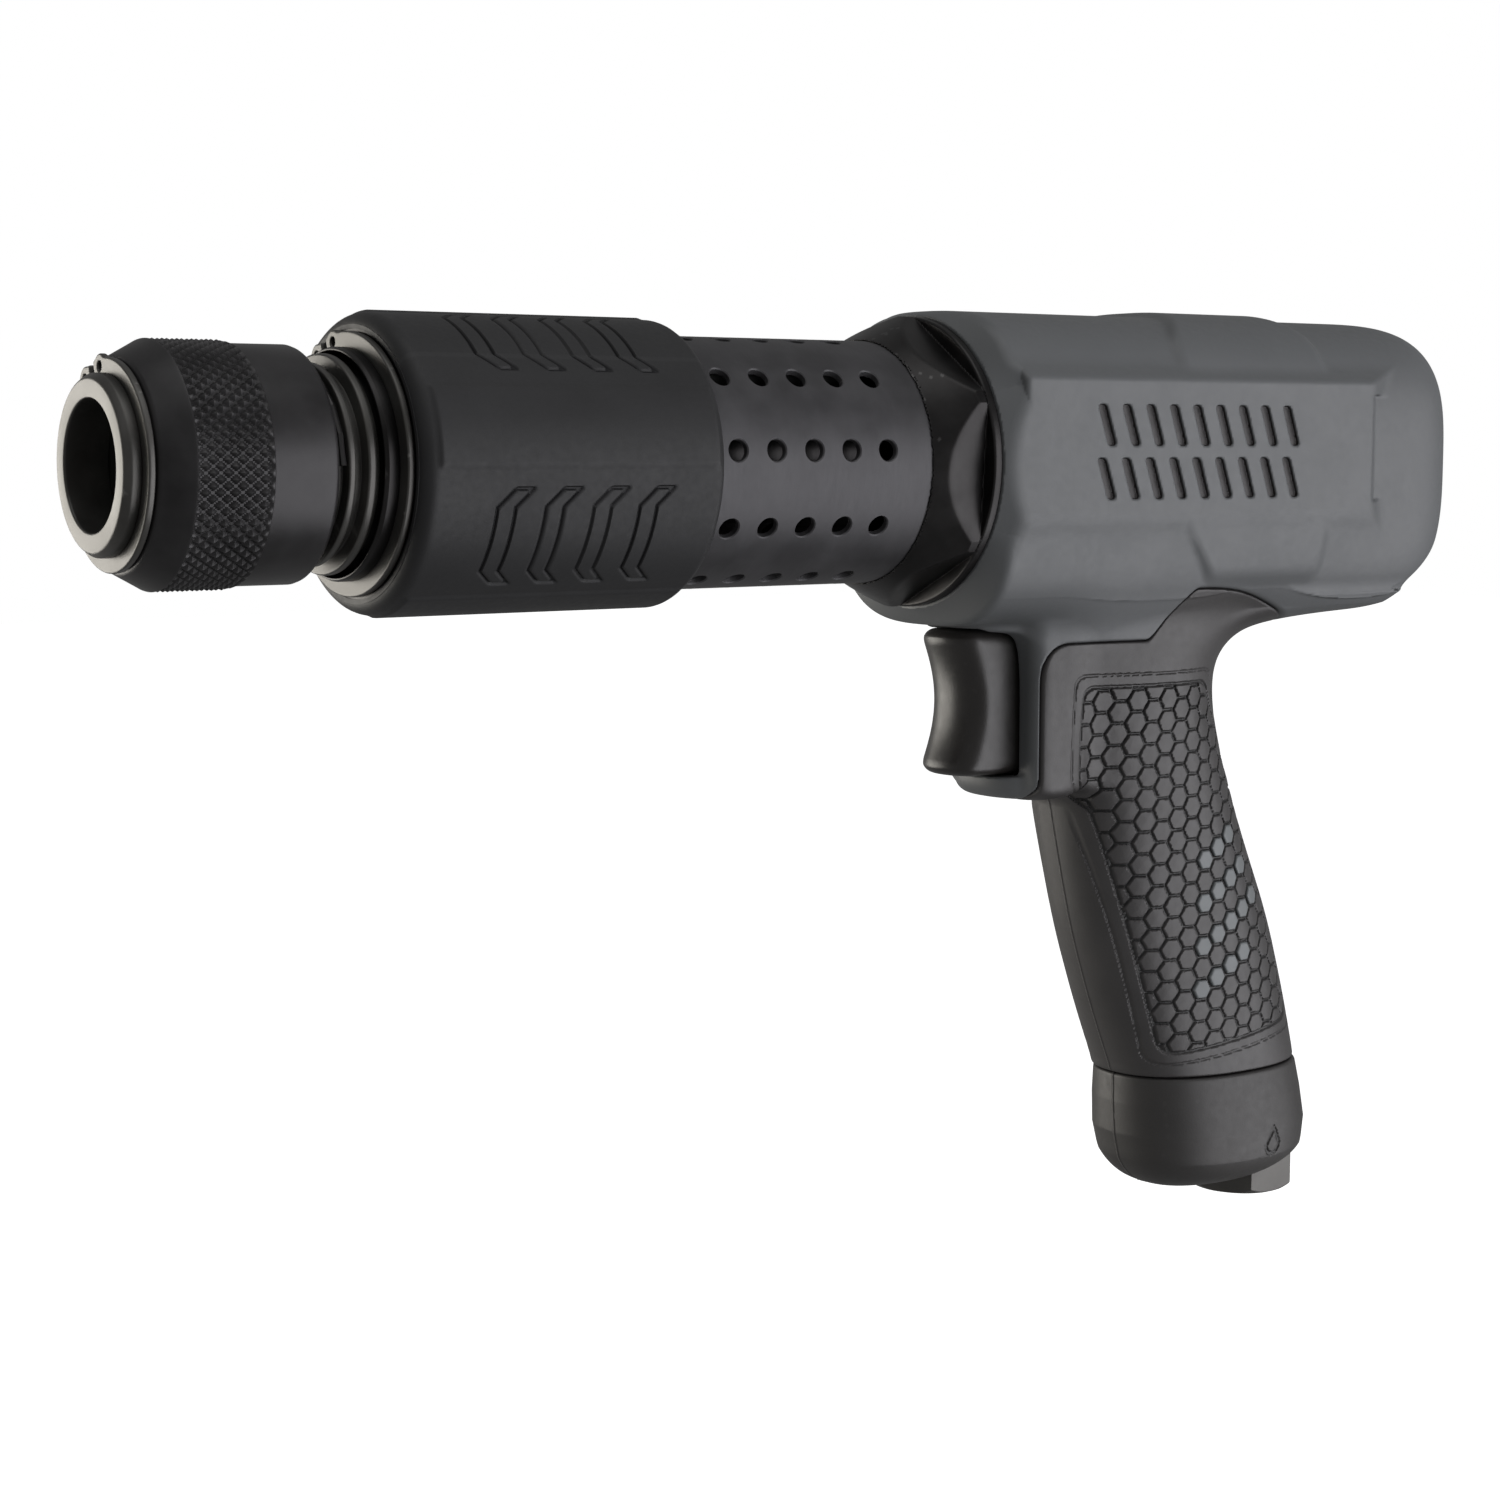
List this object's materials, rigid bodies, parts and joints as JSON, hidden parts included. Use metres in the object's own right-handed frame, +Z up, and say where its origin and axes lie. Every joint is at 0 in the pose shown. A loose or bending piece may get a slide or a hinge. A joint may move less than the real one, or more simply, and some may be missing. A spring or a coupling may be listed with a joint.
{
  "type": "pneumatic air hammer",
  "caption": "Pistol-grip pneumatic air hammer with a quick-change chisel retainer, perforated barrel shroud, barrel grip sleeve and finger trigger.",
  "frame": {"origin": "centre of the retainer's opening at the nose face, on the barrel axis", "axes": "+X forward along the barrel, out of the nose; +Y to the tool's left; +Z up"},
  "size_m": [0.307, 0.0614, 0.1939],
  "materials": {
    "black_steel": "black oxide, satin",
    "black_tube": "black oxide, fine turned grain",
    "bright_steel": "ground",
    "spring_steel": "drawn wire",
    "sleeve_polymer": "fine grained black polymer",
    "housing_grey": "satin moulded grey composite",
    "trigger_polymer": "satin black polymer",
    "grip_rubber": "matte moulded rubber",
    "cap_rubber": "matte moulded rubber",
    "inlay_grey": "matte grey moulded rubber",
    "valve_brass": "machined",
    "seal_rubber": "moulded nitrile"
  },
  "bodies": {
    "tool_body": {"retainer_body": "black_steel", "collar_snap_ring": "black_steel", "collar_spring": "spring_steel", "cylinder": "black_steel", "front_bushing": "black_steel", "sleeve_snap_ring": "black_steel", "sleeve_washer": "black_steel", "barrel_sleeve": "sleeve_polymer", "barrel_shroud": "black_tube", "barrel_nut": "black_steel", "cylinder_o_ring": "seal_rubber", "valve_block": "bright_steel", "valve_cap": "bright_steel", "valve_pin": "bright_steel", "rear_buffer": "seal_rubber", "housing": "housing_grey", "trigger_pin": "bright_steel", "throttle_bushing": "valve_brass", "throttle_bushing_o_ring": "seal_rubber", "throttle_spring": "spring_steel", "grip_overmold": "grip_rubber", "grip_inlays": "inlay_grey", "base_cap": "cap_rubber", "inlet_bushing": "black_steel", "inlet_screen": "bright_steel", "inlet_o_ring": "seal_rubber"},
    "collar": {"release_collar": "black_steel"},
    "ball_1": {"lock_ball_1": "bright_steel"},
    "ball_2": {"lock_ball_2": "bright_steel"},
    "ball_3": {"lock_ball_3": "bright_steel"},
    "ball_4": {"lock_ball_4": "bright_steel"},
    "trigger": {"trigger": "trigger_polymer"},
    "throttle": {"throttle_valve": "bright_steel", "throttle_seal": "seal_rubber"},
    "piston": {"piston": "bright_steel"},
    "valve_disc": {"valve_disc": "bright_steel"}
  },
  "joints": [
    {"name": "collar_slide", "type": "slide", "parent": "tool_body", "child": "collar", "axis": [-1, 0, 0], "range_m": [0, 0.0055], "stiffness_N_per_m": 2200, "springref_m": -0.004, "deforming": ["collar_spring"]},
    {"name": "ball_1_slide", "type": "slide", "parent": "tool_body", "child": "ball_1", "axis": [0, 0.7071, 0.7071], "range_m": [0, 0.0019]},
    {"name": "ball_2_slide", "type": "slide", "parent": "tool_body", "child": "ball_2", "axis": [0, -0.7071, 0.7071], "range_m": [0, 0.0019]},
    {"name": "ball_3_slide", "type": "slide", "parent": "tool_body", "child": "ball_3", "axis": [0, -0.7071, -0.7071], "range_m": [0, 0.0019]},
    {"name": "ball_4_slide", "type": "slide", "parent": "tool_body", "child": "ball_4", "axis": [0, 0.7071, -0.7071], "range_m": [0, 0.0019]},
    {"name": "trigger_slide", "type": "slide", "parent": "tool_body", "child": "trigger", "axis": [-1, 0, 0], "range_m": [0, 0.0055], "stiffness_N_per_m": 1500, "springref_m": -0.004, "deforming": ["throttle_spring"]},
    {"name": "throttle_slide", "type": "slide", "parent": "tool_body", "child": "throttle", "axis": [-1, 0, 0], "range_m": [0, 0.0055]},
    {"name": "piston_slide", "type": "slide", "parent": "tool_body", "child": "piston", "axis": [1, 0, 0], "range_m": [0, 0.105]},
    {"name": "valve_disc_slide", "type": "slide", "parent": "tool_body", "child": "valve_disc", "axis": [-1, 0, 0], "range_m": [0, 0.0012]}
  ],
  "couplings": [
    {"joint": "ball_1_slide", "follows": "collar_slide", "ratio": 0.345},
    {"joint": "ball_2_slide", "follows": "collar_slide", "ratio": 0.345},
    {"joint": "ball_3_slide", "follows": "collar_slide", "ratio": 0.345},
    {"joint": "ball_4_slide", "follows": "collar_slide", "ratio": 0.345},
    {"joint": "throttle_slide", "follows": "trigger_slide", "ratio": 1}
  ]
}
